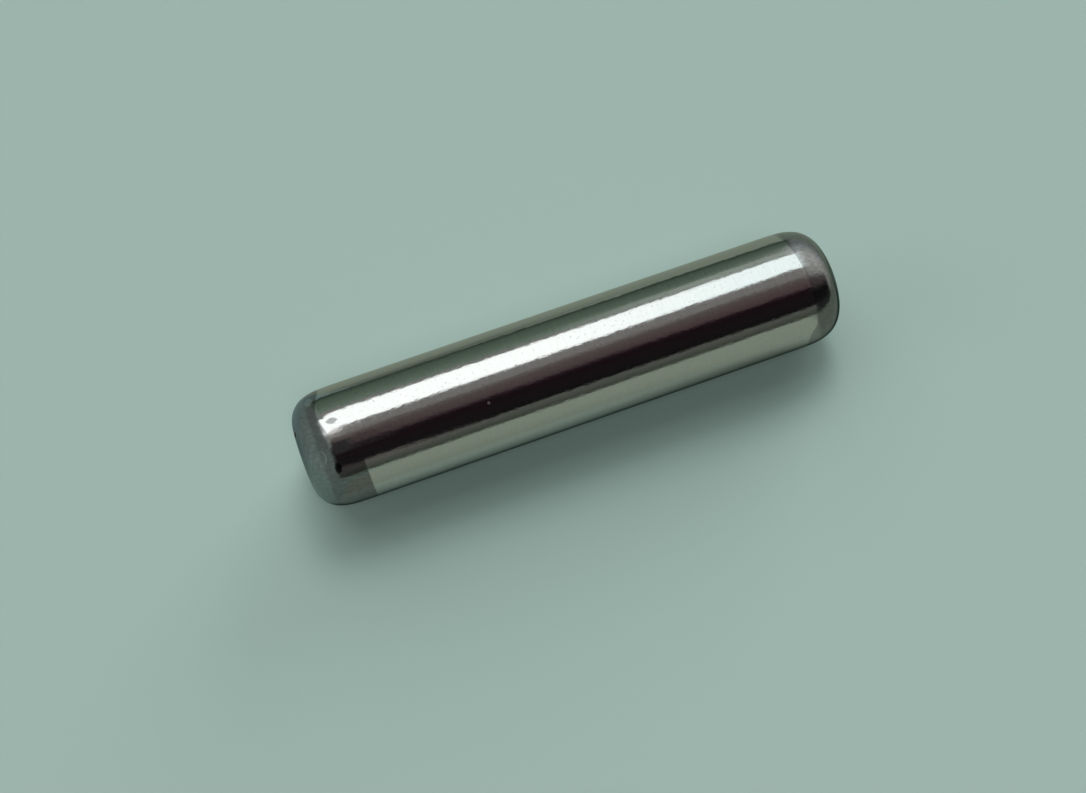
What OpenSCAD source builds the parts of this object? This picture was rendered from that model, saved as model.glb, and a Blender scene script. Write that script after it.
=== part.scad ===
// Dowel pin: a ground steel cylinder that locates two parts on each other.
// Both ends carry a short tapered lead, a rounding and a flat end face.
// The pin stands on its lower end face, with its axis on +Z.

/* [Pin] */
// Diameter of the ground barrel
pin_d = 6; // [5:0.5:12]
// Overall length, end face to end face
pin_length = 28; // [18:1:60]

/* [Ends] */
// Axial length of the tapered lead at each end
lead_length = 0.6; // [0.4:0.1:1]
// Angle between the lead and the pin's axis
lead_angle = 12; // [8:1:16]
// Radius of the rounding between the lead and the end face
corner_r = 1.4; // [0.8:0.1:1.6]

/* [Hidden] */
$fn = 128;

pin_r = pin_d / 2;
// The rounding meets the lead at its tangent, so these follow from it
lead_tip_r = pin_r - lead_length * tan(lead_angle);
face_r = lead_tip_r - corner_r * cos(lead_angle);
corner_length = corner_r * (1 - sin(lead_angle));
end_length = lead_length + corner_length;
half_length = pin_length / 2;

// Right half of one end's section, from the pin's middle up to the end face
module end_section() {
    polygon([
        [0, 0],
        [pin_r, 0],
        [pin_r, half_length - end_length],
        [lead_tip_r, half_length - corner_length],
        [face_r, half_length - corner_r],
        [face_r, half_length],
        [0, half_length]
    ]);
    translate([face_r, half_length - corner_r])
        intersection() {
            circle(r = corner_r);
            square(corner_r);
        }
}

// The whole pin, turned from its section about the axis
module pin() {
    color([0.66, 0.66, 0.64])
        rotate_extrude()
            translate([0, half_length]) {
                end_section();
                mirror([0, 1]) end_section();
            }
}

pin();
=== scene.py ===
# Dowel pin: the turned pin, its steel, and the studio around it.
# Sizes are given in mm and angles in degrees. Meshes end up in metres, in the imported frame.
import math

import bmesh
import bpy
from mathutils import Matrix, Vector


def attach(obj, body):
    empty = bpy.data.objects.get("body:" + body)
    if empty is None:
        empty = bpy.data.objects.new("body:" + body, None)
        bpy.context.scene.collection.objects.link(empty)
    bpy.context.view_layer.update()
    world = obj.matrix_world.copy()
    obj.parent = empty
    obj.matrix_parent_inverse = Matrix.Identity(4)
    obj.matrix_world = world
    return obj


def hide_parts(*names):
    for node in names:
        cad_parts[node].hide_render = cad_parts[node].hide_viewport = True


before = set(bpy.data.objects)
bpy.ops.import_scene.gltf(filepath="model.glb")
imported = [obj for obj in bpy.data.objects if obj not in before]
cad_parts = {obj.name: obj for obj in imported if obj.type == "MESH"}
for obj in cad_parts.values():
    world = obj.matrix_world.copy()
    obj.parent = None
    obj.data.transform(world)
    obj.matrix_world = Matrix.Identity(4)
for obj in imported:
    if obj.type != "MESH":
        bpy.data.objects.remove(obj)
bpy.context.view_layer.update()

scene = bpy.context.scene
scene.view_settings.view_transform = "Standard"
mm = 0.001


def bearingPoint(bearing, radius, height):  # bearings run round the pin, 0 to 180 on its near side
    azimuth = math.radians(315 - bearing)
    return (radius * math.sin(azimuth), -radius * math.cos(azimuth), height)


def sine(angle):
    return math.sin(math.radians(angle))


def addNode(tree, kind, **settings):
    node = tree.nodes.new(kind)
    for name, value in settings.items():
        setattr(node, name, value)
    return node


def freshTree(owner):
    owner.use_nodes = True
    owner.node_tree.nodes.clear()
    return owner.node_tree


def feed(tree, socket, value):  # another node's output, a colour or a number
    if isinstance(value, bpy.types.NodeSocket):
        tree.links.new(value, socket)
    elif isinstance(value, tuple) and socket.type == "RGBA":
        socket.default_value = (*value, 1)
    else:
        socket.default_value = value


def maths(tree, operation, first, second=0.0):
    node = addNode(tree, "ShaderNodeMath", operation=operation)
    feed(tree, node.inputs[0], first)
    feed(tree, node.inputs[1], second)
    return node.outputs[0]


def smooth(tree, value, low, high, start=0.0, end=1.0):  # eases from start, at low, to end, at high
    node = addNode(tree, "ShaderNodeMapRange", interpolation_type="SMOOTHSTEP")
    names = ("Value", "From Min", "From Max", "To Min", "To Max")
    for name, number in zip(names, (value, low, high, start, end)):
        feed(tree, node.inputs[name], number)
    return node.outputs["Result"]


def between(tree, value, low, high, soft):
    rising = smooth(tree, value, low - soft, low + soft)
    return maths(tree, "MULTIPLY", rising, smooth(tree, value, high + soft, high - soft))


def mixColours(tree, share, first, second, blend="MIX"):
    node = addNode(tree, "ShaderNodeMix", data_type="RGBA", blend_type=blend)
    feed(tree, node.inputs[0], share)
    feed(tree, node.inputs[6], first)
    feed(tree, node.inputs[7], second)
    return node.outputs[2]


def shaded(tree, colour, shade):  # shade is a number, or the output of a node
    grey = shade if isinstance(shade, bpy.types.NodeSocket) else (shade, shade, shade)
    return mixColours(tree, 1.0, colour, grey, "MULTIPLY")


def mapping(tree, vector, scale, turn=0.0):
    node = addNode(tree, "ShaderNodeMapping")
    node.inputs["Scale"].default_value = scale
    node.inputs["Rotation"].default_value = (0, 0, math.radians(turn))
    feed(tree, node.inputs["Vector"], vector)
    return node.outputs["Vector"]


def noise(tree, vector, scale, detail):
    node = addNode(tree, "ShaderNodeTexNoise")
    node.inputs["Scale"].default_value = scale
    node.inputs["Detail"].default_value = detail
    feed(tree, node.inputs["Vector"], vector)
    return node.outputs["Fac"]


def turnShare(bearing, start):  # a bearing as a share of a full turn, counted from start
    return (bearing - start) / 360


def bearingOf(tree, vector, start):  # the same, worked out from where a point or a direction is
    node = addNode(tree, "ShaderNodeTexGradient", gradient_type="RADIAL")
    feed(tree, node.inputs["Vector"], mapping(tree, vector, (1, -1, 1), 45 - start))
    return node.outputs["Fac"]


def objectPlace(tree, turn=0.0):  # in mm
    coordinates = addNode(tree, "ShaderNodeTexCoord").outputs["Object"]
    return mapping(tree, coordinates, (1 / mm, 1 / mm, 1 / mm), turn)


def parts(tree, vector):
    node = addNode(tree, "ShaderNodeSeparateXYZ")
    feed(tree, node.inputs["Vector"], vector)
    return node.outputs


cameraSetup = {
    "lens": 48.25,
    "sensor": 36.0,
    "place": (-68.595, 24.966, 5.067),
    "turn": (106.794, -70.126, -126.637),
    "clip": (2.0, 20000.0),
}


def makeCamera():
    data = bpy.data.cameras.new("camera")
    data.lens = cameraSetup["lens"]
    data.sensor_width = cameraSetup["sensor"]
    data.sensor_fit = "HORIZONTAL"
    data.clip_start, data.clip_end = [v * mm for v in cameraSetup["clip"]]
    camera = bpy.data.objects.new("camera", data)
    camera.location = [v * mm for v in cameraSetup["place"]]
    camera.rotation_euler = [math.radians(v) for v in cameraSetup["turn"]]
    scene.collection.objects.link(camera)
    scene.camera = camera
    print("camera placed")


pinShape = {
    "radius": 3.0,  # of the ground barrel
    "length": 28.0,
    "faceRadius": 1.503,  # the flat of each end
    "cornerRadius": 1.4,
    "leadRadius": 2.7,  # the crowned lead, along the pin
    "leadAngles": (20.0, 3.0),  # from the axis, where the lead meets the corner and the barrel
    "around": 256,
    "cornerSteps": 24,
    "leadSteps": 14,
    "easeSteps": 8,
    "weld": 1e-4,  # points closer than this are merged
}


def turnArc(bm, start, radius, fromAngle, toAngle, steps):  # adds an arc to the profile, angles from the axis
    low = math.radians(fromAngle)
    centre = (start.co.x - radius * math.cos(low), 0, start.co.z + radius * math.sin(low))
    arc = bmesh.ops.spin(bm, geom=[start], cent=centre, axis=(0, -1, 0), angle=low - math.radians(toAngle),
                         steps=steps, use_merge=False)
    return [v for v in arc["geom_last"] if isinstance(v, bmesh.types.BMVert)][0]


def makePin():
    shape = pinShape
    cornerAngle, easeAngle = shape["leadAngles"]
    half = shape["length"] / 2

    bm = bmesh.new()
    pole = bm.verts.new((0, 0, 0))
    rim = bm.verts.new((shape["faceRadius"], 0, 0))
    bm.edges.new((pole, rim))
    corner = turnArc(bm, rim, shape["cornerRadius"], 90.0, cornerAngle, shape["cornerSteps"])
    lead = turnArc(bm, corner, shape["leadRadius"], cornerAngle, easeAngle, shape["leadSteps"])
    easeRadius = (shape["radius"] - lead.co.x) / (1 - math.cos(math.radians(easeAngle)))
    barrel = turnArc(bm, lead, easeRadius, easeAngle, 0.0, shape["easeSteps"])
    middle = bm.verts.new((shape["radius"], 0, half))
    bm.edges.new((barrel, middle))
    bmesh.ops.spin(bm, geom=bm.verts[:] + bm.edges[:], cent=(0, 0, 0), axis=(0, 0, 1), angle=2 * math.pi,
                   steps=shape["around"], use_merge=True)
    bmesh.ops.remove_doubles(bm, verts=bm.verts[:], dist=shape["weld"])
    bmesh.ops.translate(bm, verts=bm.verts[:], vec=(0, 0, -half))
    bmesh.ops.mirror(bm, geom=bm.verts[:] + bm.edges[:] + bm.faces[:], axis="Z", merge_dist=shape["weld"])
    bmesh.ops.translate(bm, verts=bm.verts[:], vec=(0, 0, half))
    bmesh.ops.recalc_face_normals(bm, faces=bm.faces[:])
    bmesh.ops.scale(bm, verts=bm.verts[:], vec=(mm, mm, mm))
    for face in bm.faces:
        face.smooth = True

    mesh = bpy.data.meshes.new("dowelPin")
    bm.to_mesh(mesh)
    bm.free()
    pin = bpy.data.objects.new("dowelPin", mesh)
    scene.collection.objects.link(pin)
    pin.data.materials.append(makeSteel())
    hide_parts("pin")
    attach(pin, "root")
    print("pin turned:", len(mesh.polygons), "faces")


steelFinish = {
    "bearingStart": -90.0,  # where the pin touches the backdrop
    "ground": (0.60, 0.59, 0.57),  # the barrel
    "tumbled": (0.34, 0.342, 0.342),  # the rounded ends, which the wheel never touched
    "lead": (0.245, 0.235, 0.235),  # the lower lead and the patch beside it
    "groundRoughness": 0.09,
    "tumbledRoughness": 0.24,
    "leadRoughness": 0.14,
    "leadFrom": 0.95,  # up the pin
    "leadTo": (8.0, 6.0),
    "leadSoft": (0.12, 0.2),  # of its colour and of its roughness
    "groundFrom": 1.56,  # up the pin, where grinding starts and ends
    "groundTo": 26.2,
    "edgeWaves": ((5, 30.0, 0.17), (2, 160.0, 0.13)),  # waves round each end, their phase and height
    "edgeSoft": 0.06,
    "glintDepth": (-0.30, -0.10),  # a painted glint: a lighter band below the lower edge
    "glintBearings": (61.0, 79.0, 8.0),  # from, to and softness
    "glintColour": (0.55, 0.54, 0.54),
    "dipFrom": (-65.0, -45.0),  # the upper edge is lower here, eased in and out
    "dipTo": (23.0, 8.0),
    "dipDepth": 0.32,
    "missedFrom": (-60.0, -20.0),  # a patch that the wheel missed, eased in and out, and its upper edge
    "missedTo": (47.4, 45.8),
    "missedTop": (2.93, 2.85),
    "lineStretch": (0.35, 0.35, 9.0),
    "lineNoise": (1.0, 4.0),  # scale and detail
    "lineLimits": (0.3, 0.7),
    "lineShade": 0.06,  # grinding lines
    "lineRoughness": 0.05,
    "grainStretch": (1, 1, 0.45),
    "grainNoise": (8.0, 3.0),
    "mottle": (0.3, 0.7, 0.87, 1.13),  # limits in the grain, and the shades there
    "waveNoise": (0.8, 1.0),
    "bumpHeights": (0.0034, 0.008, 0.0003),  # grain, waves, grinding lines
    "pitNoise": (9.0, 1.0),
    "pitLimits": (0.66, 0.74),
    "pitShade": 0.25,
    "spotEdge": (1.65, 1.2),  # where a spot starts and is full, in its own size
    "stainsAndSheen": (  # stains, and in the third row a painted sheen: bearing, height, radius there, size, squeeze along the pin, shade
        (89.8, 2.02, 3.0, 0.17, 0.6, 0.46),
        (45.0, 1.58, 2.97, 0.32, 1.9, 0.12),
        (123.5, 1.18, 2.89, 0.36, 1.6, 1.75),
        (108.2, 0.64, 2.69, 0.05, 0.25, 0.45),
    ),
    "dust": (  # bearing, height, radius there, size, colour
        (100.5, 0.11, 2.03, 0.17, (0.012, 0.014, 0.014)),
        (57.2, 9.40, 3.0, 0.06, (0.07, 0.045, 0.055)),
    ),
    "scratch": (59.0, 1.20, -0.0030, 0.05),  # middle bearing and height, curve, width
    "scratchReach": (7.5, 6.0),  # to either side, where it has ended and starts to fade
    "scratchShade": 1.22,
}


def spot(tree, place, ragged, centre, size, squeeze):  # 1 inside a soft, slightly ragged spot
    offset = addNode(tree, "ShaderNodeVectorMath", operation="SUBTRACT")
    feed(tree, offset.inputs[0], place)
    offset.inputs[1].default_value = centre
    shaped = addNode(tree, "ShaderNodeVectorMath", operation="MULTIPLY")
    feed(tree, shaped.inputs[0], offset.outputs["Vector"])
    shaped.inputs[1].default_value = (1, 1, squeeze)
    reach = addNode(tree, "ShaderNodeVectorMath", operation="LENGTH")
    feed(tree, reach.inputs[0], shaped.outputs["Vector"])
    reach = maths(tree, "ADD", reach.outputs["Value"], maths(tree, "MULTIPLY", ragged, size))
    return smooth(tree, reach, *(size * edge for edge in steelFinish["spotEdge"]))


def groundEdge(tree, bearing, mean, waves):  # height of the ground barrel's edge, round the pin
    count, phase, height = waves
    angle = maths(tree, "ADD", maths(tree, "MULTIPLY", bearing, 2 * math.pi * count), math.radians(phase))
    return maths(tree, "ADD", maths(tree, "MULTIPLY", maths(tree, "SINE", angle), height), mean)


def makeSteel():
    finish = steelFinish
    material = bpy.data.materials.new("groundSteel")
    tree = freshTree(material)
    output = addNode(tree, "ShaderNodeOutputMaterial")
    shader = addNode(tree, "ShaderNodeBsdfPrincipled")
    feed(tree, output.inputs["Surface"], shader.outputs["BSDF"])

    place = objectPlace(tree)
    bearing = bearingOf(tree, place, finish["bearingStart"])
    height = parts(tree, place)["Z"]

    def roundAt(*bearings):
        return [turnShare(angle, finish["bearingStart"]) for angle in bearings]

    soft = finish["edgeSoft"]
    lowerWaves, upperWaves = finish["edgeWaves"]
    lower = maths(tree, "SUBTRACT", height, groundEdge(tree, bearing, finish["groundFrom"], lowerWaves))
    upper = maths(tree, "SUBTRACT", height, groundEdge(tree, bearing, finish["groundTo"], upperWaves))
    dip = maths(tree, "MULTIPLY", smooth(tree, bearing, *roundAt(*finish["dipFrom"])),
                smooth(tree, bearing, *roundAt(*finish["dipTo"]), 0.0, finish["dipDepth"]))
    upper = maths(tree, "ADD", upper, dip)
    bare = maths(tree, "MAXIMUM", smooth(tree, lower, soft, -soft), smooth(tree, upper, -soft, soft))
    missed = maths(tree, "MULTIPLY", smooth(tree, bearing, *roundAt(*finish["missedFrom"])),
                   smooth(tree, bearing, *roundAt(*finish["missedTo"])))
    missed = maths(tree, "MULTIPLY", missed, smooth(tree, height, *finish["missedTop"]))
    bare = maths(tree, "MAXIMUM", bare, missed)

    lines = noise(tree, mapping(tree, place, finish["lineStretch"]), *finish["lineNoise"])
    grain = noise(tree, mapping(tree, place, finish["grainStretch"]), *finish["grainNoise"])
    waves = noise(tree, place, *finish["waveNoise"])
    pits = smooth(tree, noise(tree, place, *finish["pitNoise"]), *finish["pitLimits"])

    ground = mixColours(tree, lines, tuple(v * (1 - finish["lineShade"]) for v in finish["ground"]),
                        tuple(v * (1 + finish["lineShade"]) for v in finish["ground"]))
    ground = mixColours(tree, pits, ground, shaded(tree, ground, 1 - finish["pitShade"]))
    colourSoft, roughnessSoft = finish["leadSoft"]
    leadFrom = finish["leadFrom"]
    lead = maths(tree, "MULTIPLY", smooth(tree, height, leadFrom - colourSoft, leadFrom + colourSoft),
                 smooth(tree, height, *finish["leadTo"]))
    tumbled = mixColours(tree, lead, finish["tumbled"], finish["lead"])
    # A painted glint: the colour is lighter just below the lower ground edge, on a few bearings only.
    glintFrom, glintTo, glintSoft = finish["glintBearings"]
    glint = maths(tree, "MULTIPLY", smooth(tree, lower, *finish["glintDepth"]),
                between(tree, bearing, *roundAt(glintFrom, glintTo), glintSoft / 360))
    tumbled = mixColours(tree, maths(tree, "MULTIPLY", glint, lead), tumbled, finish["glintColour"])
    tumbled = shaded(tree, tumbled, smooth(tree, grain, *finish["mottle"]))
    colour = mixColours(tree, bare, ground, tumbled)

    middle, level, curve, width = finish["scratch"]
    aside = maths(tree, "SUBTRACT", maths(tree, "MULTIPLY", bearing, 360.0), middle - finish["bearingStart"])
    bend = maths(tree, "MULTIPLY", maths(tree, "MULTIPLY", aside, aside), curve)
    gap = maths(tree, "ABSOLUTE", maths(tree, "SUBTRACT", maths(tree, "SUBTRACT", height, bend), level))
    scratch = maths(tree, "MULTIPLY", smooth(tree, gap, width, 0.0),
                    smooth(tree, maths(tree, "ABSOLUTE", aside), *finish["scratchReach"]))
    colour = mixColours(tree, scratch, colour, tuple(v * finish["scratchShade"] for v in finish["tumbled"]))

    # Each spot scales the colour by its shade. The third row lightens the tumbled end instead, a painted
    # sheen.
    for angle, up, radius, size, squeeze, shade in finish["stainsAndSheen"]:
        stainAndSheenSpot = spot(tree, place, grain, bearingPoint(angle, radius, up), size, squeeze)
        colour = mixColours(tree, stainAndSheenSpot, colour, shaded(tree, colour, shade))
    dusty = 0.0
    for angle, up, radius, size, tone in finish["dust"]:
        speck = spot(tree, place, grain, bearingPoint(angle, radius, up), size, 1.0)
        colour = mixColours(tree, speck, colour, tone)
        dusty = maths(tree, "ADD", speck, dusty)
    feed(tree, shader.inputs["Base Color"], colour)
    feed(tree, shader.inputs["Metallic"], maths(tree, "SUBTRACT", 1.0, dusty))

    lineRoughness = finish["lineRoughness"] / 2
    groundRoughness = smooth(tree, lines, *finish["lineLimits"], finish["groundRoughness"] - lineRoughness,
                             finish["groundRoughness"] + lineRoughness)
    bareRoughness = smooth(tree, height, leadFrom - roughnessSoft, leadFrom + roughnessSoft,
                           finish["tumbledRoughness"], finish["leadRoughness"])
    roughness = smooth(tree, bare, 0.0, 1.0, groundRoughness, bareRoughness)
    feed(tree, shader.inputs["Roughness"], maths(tree, "MAXIMUM", roughness, dusty))

    relief = 0.0
    for pattern, size in zip((grain, waves, lines), finish["bumpHeights"]):
        relief = maths(tree, "ADD", maths(tree, "MULTIPLY", pattern, size), relief)
    bump = addNode(tree, "ShaderNodeBump")
    bump.inputs["Distance"].default_value = mm
    feed(tree, bump.inputs["Height"], relief)
    feed(tree, shader.inputs["Normal"], bump.outputs["Normal"])
    return material


stageSetup = {
    "colour": (0.333, 0.456, 0.413),
    "mirroredNear": (0.283, 0.350, 0.285),  # what the polished barrel shows of it, on the near side
    "paintedCloseLight": (0.365, 0.50, 0.44),  # painted light: lighter closer to the line where the pin touches
    "pastUpper": (30.0, 0.25),  # beyond this height, that line counts as farther by this share
    "closeReach": (9.0, 4.0),  # from that line
    "closeFade": (27.0, 12.0, 0.15, 1.0),  # weaker up the pin: heights and shares
    "paintedShadowColour": (0.035, 0.065, 0.06),  # painted contact shadow next to that line, also the painted shade beyond the ends
    "contactReach": (2.3, 4.1),
    "sideBlend": (-1.0, 1.0),  # from the near side to the far side
    "mirroredFar": (0.233, 0.287, 0.23),  # on the far side
    "mirroredDistant": (0.13, 0.16, 0.13),
    "distantReach": (10.0, 55.0),
    "distantHeight": (34.0, 12.0),  # where that fades
    "endShades": (  # beyond each end: across, up and share
        ((-0.5, 5.0, 1.2), (29.0, 46.0, 3.0), 0.65),
        ((-1.0, 5.5, 1.5), (-9.0, -2.0, 1.5), 0.40),
    ),
    "mirroredLower": ((0.24, 0.35, 0.31), (0.19, 0.275, 0.26)),  # below the pin, near and far side
    "lowerSideBlend": (-1.0, 3.0),
    "lowerFrom": (0.5, -0.5),
    "upperShade": (0.35, 25.6, 26.8, 0.64),  # near side, beyond the upper end: lean, heights and shade
    "backdropSize": 900.0,
    "touchGap": 0.002,
    "opening": (-4.4, 1.7, 0.6, 27.4),  # behind the pin, never seen: its far side mirrors the room through it
    "floorSize": 600.0,
    "floorSteps": 240,
    "floorCrowd": 2.5,  # above 1, the floor's grid is finer near the pin
    "floorRise": 0.084,  # the floor rises gently away from the backdrop
    "floorDrop": 0.02,  # under the middle of the pin
    "floorSweep": (90.0, 700.0),  # where the floor starts to sweep up, and how slowly
}


def makePlainMaterial(name, colour):
    material = bpy.data.materials.new(name)
    tree = freshTree(material)
    output = addNode(tree, "ShaderNodeOutputMaterial")
    paint = addNode(tree, "ShaderNodeBsdfDiffuse")
    paint.inputs["Color"].default_value = (*colour, 1)
    clear = addNode(tree, "ShaderNodeBsdfTransparent")
    side = addNode(tree, "ShaderNodeNewGeometry")
    mix = addNode(tree, "ShaderNodeMixShader")
    for socket, source in zip(mix.inputs, (side.outputs["Backfacing"], paint.outputs[0], clear.outputs[0])):
        feed(tree, socket, source)
    feed(tree, output.inputs["Surface"], mix.outputs[0])
    return material, tree, paint


# A copy of the pale surface that only the pin's reflections see, with painted shade and light on it: a
# contact shadow, lighter ground near the touching line, and shade beyond the ends.
def makeMirroredMaterial():
    setup = stageSetup
    material, tree, paint = makePlainMaterial("paleSurfaceMirrored", setup["mirroredNear"])
    place = parts(tree, objectPlace(tree, 45))
    away = place["Y"]  # towards the far side
    height = place["Z"]
    upperEnd, upperShare = setup["pastUpper"]
    pastLower = maths(tree, "MAXIMUM", maths(tree, "MULTIPLY", height, -1.0), 0.0)
    pastUpper = maths(tree, "MAXIMUM", maths(tree, "SUBTRACT", height, upperEnd), 0.0)
    beyondEnds = maths(tree, "ADD", pastLower, maths(tree, "MULTIPLY", pastUpper, upperShare))
    reach = maths(tree, "SUBTRACT", beyondEnds, away)
    close = smooth(tree, height, *setup["closeFade"])
    close = maths(tree, "MULTIPLY", smooth(tree, reach, *setup["closeReach"]), close)
    # Painted light near the line where the pin touches, then the painted contact shadow right at it.
    near = mixColours(tree, close, setup["mirroredNear"], setup["paintedCloseLight"])
    near = mixColours(tree, smooth(tree, reach, *setup["contactReach"]), setup["paintedShadowColour"], near)
    lean, start, end, shade = setup["upperShade"]
    leaning = maths(tree, "ADD", height, maths(tree, "MULTIPLY", away, lean))
    near = shaded(tree, near, smooth(tree, leaning, start, end, 1.0, shade))
    distant = maths(tree, "MULTIPLY", smooth(tree, away, *setup["distantReach"]),
                    smooth(tree, height, *setup["distantHeight"]))
    far = mixColours(tree, distant, setup["mirroredFar"], setup["mirroredDistant"])
    colour = mixColours(tree, smooth(tree, away, *setup["sideBlend"]), near, far)
    lower = mixColours(tree, smooth(tree, away, *setup["lowerSideBlend"]), *setup["mirroredLower"])
    colour = mixColours(tree, smooth(tree, height, *setup["lowerFrom"]), colour, lower)
    for across, up, share in setup["endShades"]:
        covered = maths(tree, "MULTIPLY", between(tree, away, *across), between(tree, height, *up))
        covered = maths(tree, "MULTIPLY", covered, share)
        colour = mixColours(tree, covered, colour, setup["paintedShadowColour"])
    feed(tree, paint.inputs["Color"], colour)
    return material


def addStage(name, bm, material):
    mesh = bpy.data.meshes.new(name)
    bmesh.ops.scale(bm, verts=bm.verts[:], vec=(mm, mm, mm))
    bm.to_mesh(mesh)
    bm.free()
    thing = bpy.data.objects.new(name, mesh)
    thing.data.materials.append(material)
    scene.collection.objects.link(thing)
    thing.visible_shadow = False
    return thing


def backdropMesh(opening=None):  # a square that the pin touches, facing its near side
    size = stageSetup["backdropSize"]
    bm = bmesh.new()
    bmesh.ops.create_grid(bm, x_segments=1, y_segments=1, size=size)
    if opening is not None:
        left, right, low, high = opening
        for place, normal in (((left, 0, 0), (1, 0, 0)), ((right, 0, 0), (1, 0, 0)),
                              ((0, low, 0), (0, 1, 0)), ((0, high, 0), (0, 1, 0))):
            bmesh.ops.bisect_plane(bm, geom=bm.verts[:] + bm.edges[:] + bm.faces[:], plane_co=place,
                                   plane_no=normal)
        middle = Vector(((left + right) / 2, (low + high) / 2, 0))
        unseen = min(bm.faces, key=lambda face: (face.calc_center_median() - middle).length)
        bmesh.ops.delete(bm, geom=[unseen], context="FACES")
    along = Vector(bearingPoint(0.0, 1.0, 0.0))
    up = Vector((0, 0, 1))
    out = Vector(bearingPoint(90.0, 1.0, 0.0))
    turn = Matrix((along, up, out)).transposed().to_4x4()
    turn.translation = -out * (pinShape["radius"] + stageSetup["touchGap"])
    bmesh.ops.transform(bm, matrix=turn, verts=bm.verts[:])
    return bm


def floorPoint(x, y):  # x and y from -1 to 1, finer near the pin
    setup = stageSetup
    x, y = (math.copysign(abs(v) ** setup["floorCrowd"], v) * setup["floorSize"] for v in (x, y))
    forward = Vector((x, y, 0)).dot(Vector(bearingPoint(90.0, 1.0, 0.0)))
    sweepStart, sweepEase = setup["floorSweep"]
    far = max(0, math.hypot(x, y) - sweepStart)
    return (x, y, setup["floorRise"] * forward - setup["floorDrop"] + far * far / sweepEase)


def makeStage():
    plain = makePlainMaterial("paleSurface", stageSetup["colour"])[0]
    backdrop = addStage("backdrop", backdropMesh(), plain)
    backdrop.visible_glossy = False
    backdrop.visible_diffuse = False
    card = addStage("backdropMirrored", backdropMesh(stageSetup["opening"]), makeMirroredMaterial())
    card.visible_camera = False
    card.visible_diffuse = False

    bm = bmesh.new()
    steps = stageSetup["floorSteps"]
    bmesh.ops.create_grid(bm, x_segments=steps, y_segments=steps, size=1)
    for vert in bm.verts:
        vert.co = floorPoint(vert.co.x, vert.co.y)
    for face in bm.faces:
        face.smooth = True
    floor = addStage("floor", bm, plain)
    floor.visible_glossy = False
    floor.visible_diffuse = False
    print("stage set")


lampSetup = {  # bearing, rise, spread and strength
    "windowLight": (122.0, 12.0, 24.0, 0.82),
    "roomLight": (128.0, -3.0, 70.0, 1.48),
    "nearLight": (62.0, 0.0, 24.0, 0.66),
    "lowLight": (110.0, -60.0, 36.0, 0.40),
    "wallLight": (158.0, 45.0, 36.0, 1.44),
    "topLight": (255.0, 60.0, 50.0, 1.85),
}


def makeLamps():
    for name, (bearing, rise, spread, strength) in lampSetup.items():
        data = bpy.data.lights.new(name, "SUN")
        data.energy = strength
        data.angle = math.radians(spread)
        lamp = bpy.data.objects.new(name, data)
        towards = Vector(bearingPoint(bearing, math.cos(math.radians(rise)), sine(rise)))
        lamp.rotation_euler = towards.to_track_quat("Z", "Y").to_euler()
        lamp.visible_glossy = False
        scene.collection.objects.link(lamp)
    print("lamps hung")


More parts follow.
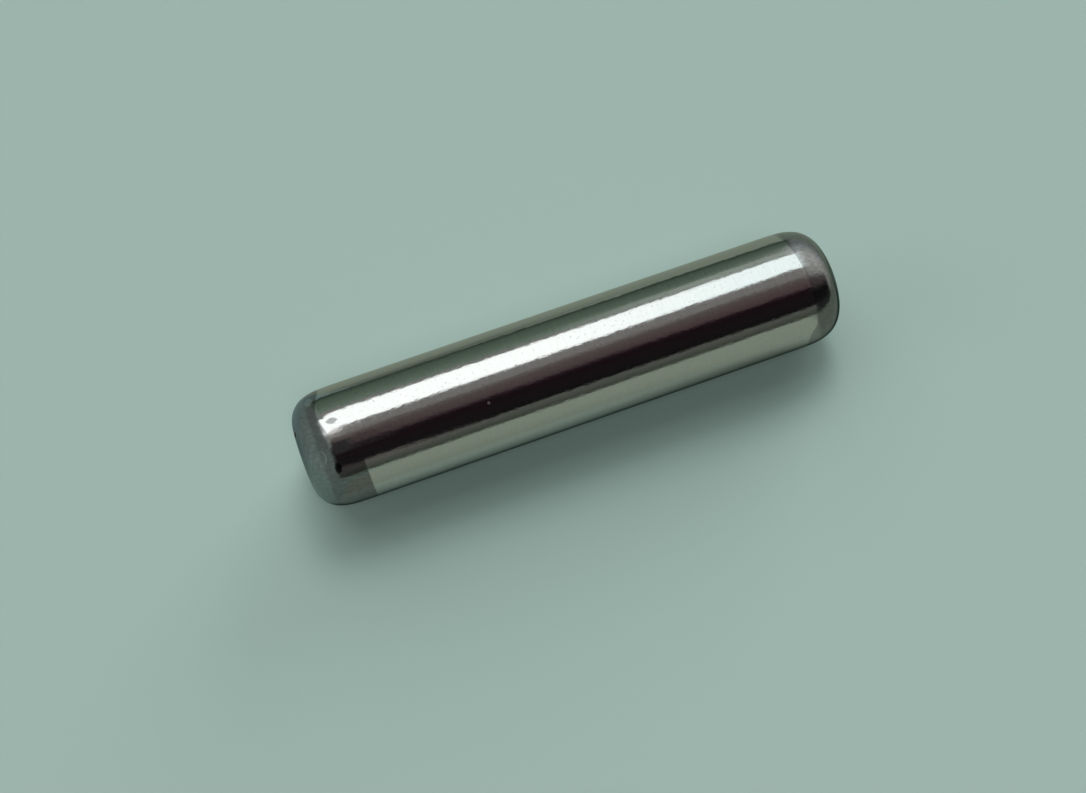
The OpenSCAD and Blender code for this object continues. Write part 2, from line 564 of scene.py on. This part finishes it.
roomSetup = {
    "fill": (0.045, 0.046, 0.046),  # the light from all round
    "beyond": (0.333, 0.456, 0.413),  # what the camera would see past the stage
    "level": (  # what the pin mirrors on its own level, by bearing
        (0, (0.233, 0.287, 0.23)), (1.0, (0.233, 0.287, 0.23)),
        (2.4, (0.040, 0.048, 0.038)), (6, (0.070, 0.082, 0.068)), (12, (0.094, 0.108, 0.092)),
        (19, (0.126, 0.133, 0.120)), (21, (0.006, 0.006, 0.006)), (32, (0.012, 0.010, 0.011)),
        (54, (0.013, 0.007, 0.010)), (57, (0.020, 0.012, 0.016)), (60, (0.055, 0.037, 0.042)),
        (63, (0.094, 0.067, 0.072)), (75, (0.112, 0.090, 0.090)), (80, (0.140, 0.122, 0.120)),
        (84, (0.235, 0.230, 0.227)), (138, (0.245, 0.249, 0.248)),
        (140, (0.178, 0.245, 0.195)), (155, (0.117, 0.167, 0.127)), (170, (0.083, 0.124, 0.091)),
        (177, (0.040, 0.058, 0.043)), (181, (0.040, 0.058, 0.043)), (184, (0.19, 0.24, 0.20)),
        (205, (0.19, 0.24, 0.20)), (215, (0.12, 0.14, 0.13)), (268, (0.12, 0.13, 0.13)),
        (285, (0.05, 0.055, 0.055)), (300, (0.05, 0.055, 0.055)), (318, (0.28, 0.30, 0.29)),
        (345, (0.24, 0.30, 0.25)),
    ),
    "highRise": (21, 30),
    "high": (  # the same, 30 degrees up and more
        (0, (0.035, 0.042, 0.038)), (15, (0.030, 0.034, 0.032)), (25, (0.014, 0.014, 0.013)),
        (44, (0.010, 0.009, 0.010)), (52, (0.03, 0.027, 0.026)), (58, (0.09, 0.080, 0.077)),
        (70, (0.13, 0.110, 0.107)), (76, (0.17, 0.150, 0.145)), (84, (0.46, 0.47, 0.44)),
        (97, (0.60, 0.62, 0.57)), (138, (0.60, 0.64, 0.60)), (151, (0.445, 0.50, 0.48)),
        (160, (0.40, 0.435, 0.44)), (172, (0.28, 0.30, 0.29)), (200, (0.28, 0.30, 0.29)),
        (230, (0.16, 0.17, 0.17)), (330, (0.16, 0.17, 0.17)),
    ),
    "lowRise": (-11, -20),
    "low": (  # 20 degrees down and more
        (0, (0.27, 0.355, 0.325)), (50, (0.285, 0.38, 0.35)), (72, (0.25, 0.335, 0.305)),
        (90, (0.25, 0.33, 0.31)), (112, (0.25, 0.33, 0.31)), (131, (0.25, 0.31, 0.295)),
        (160, (0.225, 0.285, 0.26)), (185, (0.235, 0.31, 0.28)), (230, (0.24, 0.31, 0.29)),
        (320, (0.25, 0.33, 0.30)),
    ),
    "aboveRise": (65, 84),
    "above": (0.42, 0.43, 0.41),
    "lean": (  # from and to rise, and how far the window leans there
        (-5.5, -9.5, 0.0, 5.5),
        (8.0, 17.0, 0.9, -1.1),
    ),
    # Bearings, rises, softness and colour. Some go on with the rises where the colour turns, the colour
    # above them, and whether the patch leans.
    "patches": (
        ((15.0, 24.3), (-17.0, 0.5), 2.0, (0.130, 0.128, 0.122)),
        ((50.0, 73.5), (-17.0, -1.8), 1.2, (0.034, 0.033, 0.035)),
        ((59.0, 65.0), (11.5, 32.0), 3.0, (0.098, 0.064, 0.070)),
        ((66.0, 88.0), (-22.0, -13.5), 3.0, (0.285, 0.345, 0.32)),
        ((84.0, 103.0), (-22.0, -5.0), 3.0, (0.36, 0.36, 0.35)),
        ((136.0, 147.0), (9.0, 24.0), 4.0, (0.36, 0.43, 0.38)),
        ((139.0, 158.0), (20.0, 34.0), 7.0, (0.55, 0.59, 0.61)),
        ((159.0, 182.0), (21.0, 31.0), 2.0, (0.27, 0.29, 0.295)),
        ((102.0, 141.0), (22.0, 54.0), 4.0, (1.10, 1.16, 1.12), (24.0, 38.0), (0.74, 0.76, 0.72), False),
        ((90.8, 104.0), (-12.5, -3.5), 1.2, (0.9, 0.9, 0.9)),
        ((99.8, 133.2), (-20.0, 25.0), 0.7, (1.62, 1.71, 1.73), (5.0, 18.0), (1.32, 1.52, 1.54), True),
        ((204.0, 228.0), (-50.0, 30.0), 2.0, (1.1, 1.1, 1.1)),
    ),
}


def roomRamp(tree, bearing, stops):
    ramp = addNode(tree, "ShaderNodeValToRGB")
    elements = ramp.color_ramp.elements
    for index, (angle, colour) in enumerate(stops):
        stop = elements[index] if index < 2 else elements.new(angle / 360)
        stop.position = angle / 360
        stop.color = (*colour, 1)
    feed(tree, ramp.inputs["Fac"], bearing)
    return ramp.outputs["Color"]


def makeWorld():
    setup = roomSetup
    world = bpy.data.worlds.new("studio")
    scene.world = world
    world.cycles.sampling_method = "NONE"
    tree = freshTree(world)
    output = addNode(tree, "ShaderNodeOutputWorld")
    background = addNode(tree, "ShaderNodeBackground")
    feed(tree, output.inputs["Surface"], background.outputs[0])
    path = addNode(tree, "ShaderNodeLightPath")
    direction = addNode(tree, "ShaderNodeTexCoord").outputs["Generated"]
    bearing = bearingOf(tree, direction, 0)
    height = parts(tree, direction)["Z"]

    room = roomRamp(tree, bearing, setup["level"])
    for name in ("high", "low"):
        share = smooth(tree, height, *map(sine, setup[name + "Rise"]))
        room = mixColours(tree, share, room, roomRamp(tree, bearing, setup[name]))
    room = mixColours(tree, smooth(tree, height, *map(sine, setup["aboveRise"])), room, setup["above"])
    lean = 0.0
    for low, high, start, end in setup["lean"]:
        lean = maths(tree, "ADD", smooth(tree, height, sine(low), sine(high), start / 360, end / 360), lean)
    for (start, end), (low, high), soft, colour, *turned in setup["patches"]:
        around = bearing
        if turned:
            (turnLow, turnHigh), headColour, leans = turned
            colour = mixColours(tree, smooth(tree, height, sine(turnLow), sine(turnHigh)), colour, headColour)
            if leans:
                around = maths(tree, "ADD", bearing, lean)
        share = maths(tree, "MULTIPLY", between(tree, around, start / 360, end / 360, soft / 360),
                      between(tree, height, sine(low), sine(high), sine(soft)))
        room = mixColours(tree, share, room, colour)

    seen = mixColours(tree, path.outputs["Is Glossy Ray"], setup["fill"], room)
    seen = mixColours(tree, path.outputs["Is Camera Ray"], seen, setup["beyond"])
    feed(tree, background.inputs["Color"], seen)
    print("world set")


makeCamera()
makePin()
makeStage()
makeWorld()
makeLamps()
